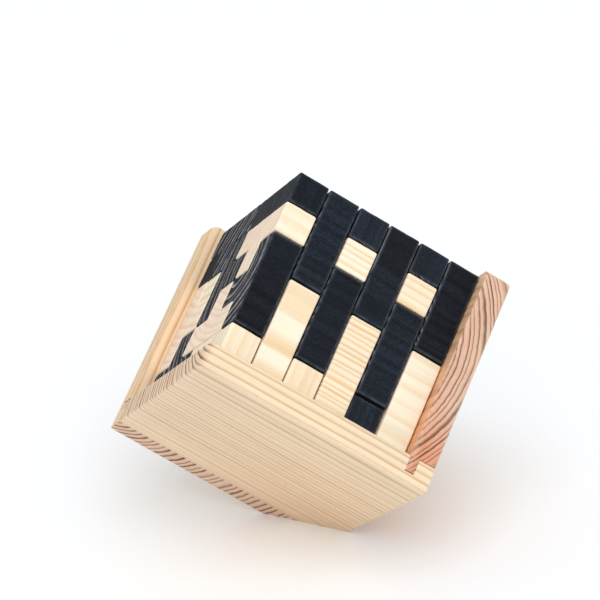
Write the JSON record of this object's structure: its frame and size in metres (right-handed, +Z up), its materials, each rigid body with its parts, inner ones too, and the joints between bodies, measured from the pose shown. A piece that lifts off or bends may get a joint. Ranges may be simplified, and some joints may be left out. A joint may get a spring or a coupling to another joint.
{
  "type": "wooden packing puzzle",
  "caption": "Cube packed from T-shaped black and natural wooden pieces, standing on one corner in a tray of three grooved wooden boards.",
  "frame": {"origin": "on the ground under the middle of the triangular foot", "axes": "+Z up along the cube's body diagonal, away from the foot; the front face of T pieces looks towards -Y and to +X, and the left face towards -X"},
  "size_m": [0.127, 0.1094, 0.1166],
  "materials": {
    "tray_wood": "satin, warm cream wood with ring lines on its sawn ends",
    "natural_wood": "satin, pale plain wood",
    "black_wood": "satin, wood stained blue-black, greyer at its edges"
  },
  "bodies": {
    "tray": {"base_board": "tray_wood", "right_board": "tray_wood", "back_board": "tray_wood"},
    "black_piece_01": {"black_piece_01": "black_wood"},
    "black_piece_02": {"black_piece_02": "black_wood"},
    "black_piece_03": {"black_piece_03": "black_wood"},
    "black_piece_04": {"black_piece_04": "black_wood"},
    "black_piece_05": {"black_piece_05": "black_wood"},
    "black_piece_06": {"black_piece_06": "black_wood"},
    "black_piece_07": {"black_piece_07": "black_wood"},
    "black_piece_08": {"black_piece_08": "black_wood"},
    "black_piece_09": {"black_piece_09": "black_wood"},
    "black_piece_10": {"black_piece_10": "black_wood"},
    "black_piece_11": {"black_piece_11": "black_wood"},
    "black_piece_12": {"black_piece_12": "black_wood"},
    "black_piece_13": {"black_piece_13": "black_wood"},
    "black_piece_14": {"black_piece_14": "black_wood"},
    "black_piece_15": {"black_piece_15": "black_wood"},
    "black_piece_16": {"black_piece_16": "black_wood"},
    "black_piece_17": {"black_piece_17": "black_wood"},
    "black_piece_18": {"black_piece_18": "black_wood"},
    "black_piece_19": {"black_piece_19": "black_wood"},
    "black_piece_20": {"black_piece_20": "black_wood"},
    "black_piece_21": {"black_piece_21": "black_wood"},
    "black_piece_22": {"black_piece_22": "black_wood"},
    "black_piece_23": {"black_piece_23": "black_wood"},
    "black_piece_24": {"black_piece_24": "black_wood"},
    "black_piece_25": {"black_piece_25": "black_wood"},
    "black_piece_26": {"black_piece_26": "black_wood"},
    "black_piece_27": {"black_piece_27": "black_wood"},
    "natural_piece_01": {"natural_piece_01": "natural_wood"},
    "natural_piece_02": {"natural_piece_02": "natural_wood"},
    "natural_piece_03": {"natural_piece_03": "natural_wood"},
    "natural_piece_04": {"natural_piece_04": "natural_wood"},
    "natural_piece_05": {"natural_piece_05": "natural_wood"},
    "natural_piece_06": {"natural_piece_06": "natural_wood"},
    "natural_piece_07": {"natural_piece_07": "natural_wood"},
    "natural_piece_08": {"natural_piece_08": "natural_wood"},
    "natural_piece_09": {"natural_piece_09": "natural_wood"},
    "natural_piece_10": {"natural_piece_10": "natural_wood"},
    "natural_piece_11": {"natural_piece_11": "natural_wood"},
    "natural_piece_12": {"natural_piece_12": "natural_wood"},
    "natural_piece_13": {"natural_piece_13": "natural_wood"},
    "natural_piece_14": {"natural_piece_14": "natural_wood"},
    "natural_piece_15": {"natural_piece_15": "natural_wood"},
    "natural_piece_16": {"natural_piece_16": "natural_wood"},
    "natural_piece_17": {"natural_piece_17": "natural_wood"},
    "natural_piece_18": {"natural_piece_18": "natural_wood"},
    "natural_piece_19": {"natural_piece_19": "natural_wood"},
    "natural_piece_20": {"natural_piece_20": "natural_wood"},
    "natural_piece_21": {"natural_piece_21": "natural_wood"},
    "natural_piece_22": {"natural_piece_22": "natural_wood"},
    "natural_piece_23": {"natural_piece_23": "natural_wood"},
    "natural_piece_24": {"natural_piece_24": "natural_wood"},
    "natural_piece_25": {"natural_piece_25": "natural_wood"},
    "natural_piece_26": {"natural_piece_26": "natural_wood"},
    "natural_piece_27": {"natural_piece_27": "natural_wood"}
  },
  "joints": [
    {"name": "black_piece_01_slide", "type": "slide", "parent": "tray", "child": "black_piece_01", "axis": [0.4082, 0.7071, 0.5774], "range_m": [0, 0.072]},
    {"name": "black_piece_02_slide", "type": "slide", "parent": "tray", "child": "black_piece_02", "axis": [0.4082, 0.7071, 0.5774], "range_m": [0, 0.072]},
    {"name": "black_piece_03_slide", "type": "slide", "parent": "tray", "child": "black_piece_03", "axis": [0.4082, 0.7071, 0.5774], "range_m": [0, 0.072]},
    {"name": "black_piece_04_slide", "type": "slide", "parent": "tray", "child": "black_piece_04", "axis": [-0.8165, 0, 0.5774], "range_m": [0, 0.072]},
    {"name": "natural_piece_03_slide", "type": "slide", "parent": "tray", "child": "natural_piece_03", "axis": [0.4082, 0.7071, 0.5774], "range_m": [0, 0.072]},
    {"name": "black_piece_06_slide", "type": "slide", "parent": "natural_piece_03", "child": "black_piece_06", "axis": [0.4082, 0.7071, 0.5774], "range_m": [0, 0.072]},
    {"name": "black_piece_05_slide", "type": "slide", "parent": "black_piece_06", "child": "black_piece_05", "axis": [-0.8165, 0, 0.5774], "range_m": [0, 0.072]},
    {"name": "black_piece_08_slide", "type": "slide", "parent": "tray", "child": "black_piece_08", "axis": [0.4082, -0.7071, 0.5774], "range_m": [0, 0.072]},
    {"name": "black_piece_07_slide", "type": "slide", "parent": "black_piece_08", "child": "black_piece_07", "axis": [0.4082, -0.7071, 0.5774], "range_m": [0, 0.072]},
    {"name": "black_piece_10_slide", "type": "slide", "parent": "tray", "child": "black_piece_10", "axis": [0.4082, -0.7071, 0.5774], "range_m": [0, 0.072]},
    {"name": "black_piece_09_slide", "type": "slide", "parent": "black_piece_10", "child": "black_piece_09", "axis": [0.4082, -0.7071, 0.5774], "range_m": [0, 0.072]},
    {"name": "natural_piece_04_slide", "type": "slide", "parent": "tray", "child": "natural_piece_04", "axis": [0.4082, -0.7071, 0.5774], "range_m": [0, 0.072]},
    {"name": "black_piece_11_slide", "type": "slide", "parent": "natural_piece_04", "child": "black_piece_11", "axis": [0.4082, -0.7071, 0.5774], "range_m": [0, 0.072]},
    {"name": "black_piece_12_slide", "type": "slide", "parent": "tray", "child": "black_piece_12", "axis": [0.4082, -0.7071, 0.5774], "range_m": [0, 0.072]},
    {"name": "natural_piece_07_slide", "type": "slide", "parent": "tray", "child": "natural_piece_07", "axis": [-0.8165, 0, 0.5774], "range_m": [0, 0.072]},
    {"name": "black_piece_13_slide", "type": "slide", "parent": "natural_piece_07", "child": "black_piece_13", "axis": [-0.8165, 0, 0.5774], "range_m": [0, 0.072]},
    {"name": "natural_piece_10_slide", "type": "slide", "parent": "tray", "child": "natural_piece_10", "axis": [0.4082, 0.7071, 0.5774], "range_m": [0, 0.072]},
    {"name": "black_piece_16_slide", "type": "slide", "parent": "natural_piece_10", "child": "black_piece_16", "axis": [0.4082, 0.7071, 0.5774], "range_m": [0, 0.072]},
    {"name": "black_piece_15_slide", "type": "slide", "parent": "black_piece_16", "child": "black_piece_15", "axis": [0.4082, 0.7071, 0.5774], "range_m": [0, 0.072]},
    {"name": "natural_piece_09_slide", "type": "slide", "parent": "black_piece_15", "child": "natural_piece_09", "axis": [0.4082, 0.7071, 0.5774], "range_m": [0, 0.072]},
    {"name": "black_piece_14_slide", "type": "slide", "parent": "natural_piece_09", "child": "black_piece_14", "axis": [0.4082, 0.7071, 0.5774], "range_m": [0, 0.072]},
    {"name": "black_piece_19_slide", "type": "slide", "parent": "tray", "child": "black_piece_19", "axis": [0.4082, 0.7071, 0.5774], "range_m": [0, 0.072]},
    {"name": "black_piece_18_slide", "type": "slide", "parent": "black_piece_19", "child": "black_piece_18", "axis": [0.4082, 0.7071, 0.5774], "range_m": [0, 0.072]},
    {"name": "natural_piece_13_slide", "type": "slide", "parent": "black_piece_18", "child": "natural_piece_13", "axis": [0.4082, 0.7071, 0.5774], "range_m": [0, 0.072]},
    {"name": "natural_piece_12_slide", "type": "slide", "parent": "natural_piece_13", "child": "natural_piece_12", "axis": [0.4082, 0.7071, 0.5774], "range_m": [0, 0.072]},
    {"name": "black_piece_17_slide", "type": "slide", "parent": "natural_piece_12", "child": "black_piece_17", "axis": [0.4082, 0.7071, 0.5774], "range_m": [0, 0.072]},
    {"name": "black_piece_20_slide", "type": "slide", "parent": "tray", "child": "black_piece_20", "axis": [0.4082, -0.7071, 0.5774], "range_m": [0, 0.072]},
    {"name": "natural_piece_22_slide", "type": "slide", "parent": "tray", "child": "natural_piece_22", "axis": [0.4082, -0.7071, 0.5774], "range_m": [0, 0.072]},
    {"name": "natural_piece_18_slide", "type": "slide", "parent": "natural_piece_22", "child": "natural_piece_18", "axis": [0.4082, -0.7071, 0.5774], "range_m": [0, 0.072]},
    {"name": "black_piece_22_slide", "type": "slide", "parent": "natural_piece_18", "child": "black_piece_22", "axis": [0.4082, -0.7071, 0.5774], "range_m": [0, 0.072]},
    {"name": "natural_piece_17_slide", "type": "slide", "parent": "black_piece_22", "child": "natural_piece_17", "axis": [0.4082, -0.7071, 0.5774], "range_m": [0, 0.072]},
    {"name": "black_piece_21_slide", "type": "slide", "parent": "natural_piece_17", "child": "black_piece_21", "axis": [0.4082, -0.7071, 0.5774], "range_m": [0, 0.072]},
    {"name": "black_piece_23_slide", "type": "slide", "parent": "natural_piece_22", "child": "black_piece_23", "axis": [0.4082, -0.7071, 0.5774], "range_m": [0, 0.072]},
    {"name": "natural_piece_27_slide", "type": "slide", "parent": "tray", "child": "natural_piece_27", "axis": [0.4082, -0.7071, 0.5774], "range_m": [0, 0.072]},
    {"name": "black_piece_25_slide", "type": "slide", "parent": "natural_piece_27", "child": "black_piece_25", "axis": [0.4082, -0.7071, 0.5774], "range_m": [0, 0.072]},
    {"name": "natural_piece_24_slide", "type": "slide", "parent": "black_piece_25", "child": "natural_piece_24", "axis": [0.4082, -0.7071, 0.5774], "range_m": [0, 0.072]},
    {"name": "natural_piece_23_slide", "type": "slide", "parent": "natural_piece_24", "child": "natural_piece_23", "axis": [0.4082, -0.7071, 0.5774], "range_m": [0, 0.072]},
    {"name": "black_piece_24_slide", "type": "slide", "parent": "natural_piece_23", "child": "black_piece_24", "axis": [0.4082, -0.7071, 0.5774], "range_m": [0, 0.072]},
    {"name": "natural_piece_26_slide", "type": "slide", "parent": "natural_piece_27", "child": "natural_piece_26", "axis": [0.4082, -0.7071, 0.5774], "range_m": [0, 0.072]},
    {"name": "black_piece_27_slide", "type": "slide", "parent": "natural_piece_26", "child": "black_piece_27", "axis": [0.4082, -0.7071, 0.5774], "range_m": [0, 0.072]},
    {"name": "black_piece_26_slide", "type": "slide", "parent": "black_piece_27", "child": "black_piece_26", "axis": [0.4082, -0.7071, 0.5774], "range_m": [0, 0.072]},
    {"name": "natural_piece_01_slide", "type": "slide", "parent": "tray", "child": "natural_piece_01", "axis": [-0.8165, 0, 0.5774], "range_m": [0, 0.072]},
    {"name": "natural_piece_02_slide", "type": "slide", "parent": "natural_piece_03", "child": "natural_piece_02", "axis": [0.4082, 0.7071, 0.5774], "range_m": [0, 0.072]},
    {"name": "natural_piece_05_slide", "type": "slide", "parent": "tray", "child": "natural_piece_05", "axis": [-0.8165, 0, 0.5774], "range_m": [0, 0.072]},
    {"name": "natural_piece_06_slide", "type": "slide", "parent": "natural_piece_07", "child": "natural_piece_06", "axis": [-0.8165, 0, 0.5774], "range_m": [0, 0.072]},
    {"name": "natural_piece_08_slide", "type": "slide", "parent": "black_piece_15", "child": "natural_piece_08", "axis": [0.4082, 0.7071, 0.5774], "range_m": [0, 0.072]},
    {"name": "natural_piece_11_slide", "type": "slide", "parent": "natural_piece_13", "child": "natural_piece_11", "axis": [0.4082, 0.7071, 0.5774], "range_m": [0, 0.072]},
    {"name": "natural_piece_14_slide", "type": "slide", "parent": "black_piece_20", "child": "natural_piece_14", "axis": [-0.8165, 0, 0.5774], "range_m": [0, 0.072]},
    {"name": "natural_piece_16_slide", "type": "slide", "parent": "black_piece_20", "child": "natural_piece_16", "axis": [0.4082, -0.7071, 0.5774], "range_m": [0, 0.072]},
    {"name": "natural_piece_15_slide", "type": "slide", "parent": "natural_piece_16", "child": "natural_piece_15", "axis": [0.4082, -0.7071, 0.5774], "range_m": [0, 0.072]},
    {"name": "natural_piece_21_slide", "type": "slide", "parent": "black_piece_23", "child": "natural_piece_21", "axis": [0.4082, -0.7071, 0.5774], "range_m": [0, 0.072]},
    {"name": "natural_piece_20_slide", "type": "slide", "parent": "natural_piece_21", "child": "natural_piece_20", "axis": [0.4082, -0.7071, 0.5774], "range_m": [0, 0.072]},
    {"name": "natural_piece_19_slide", "type": "slide", "parent": "natural_piece_20", "child": "natural_piece_19", "axis": [0.4082, -0.7071, 0.5774], "range_m": [0, 0.072]},
    {"name": "natural_piece_25_slide", "type": "slide", "parent": "black_piece_26", "child": "natural_piece_25", "axis": [0.4082, -0.7071, 0.5774], "range_m": [0, 0.072]}
  ]
}
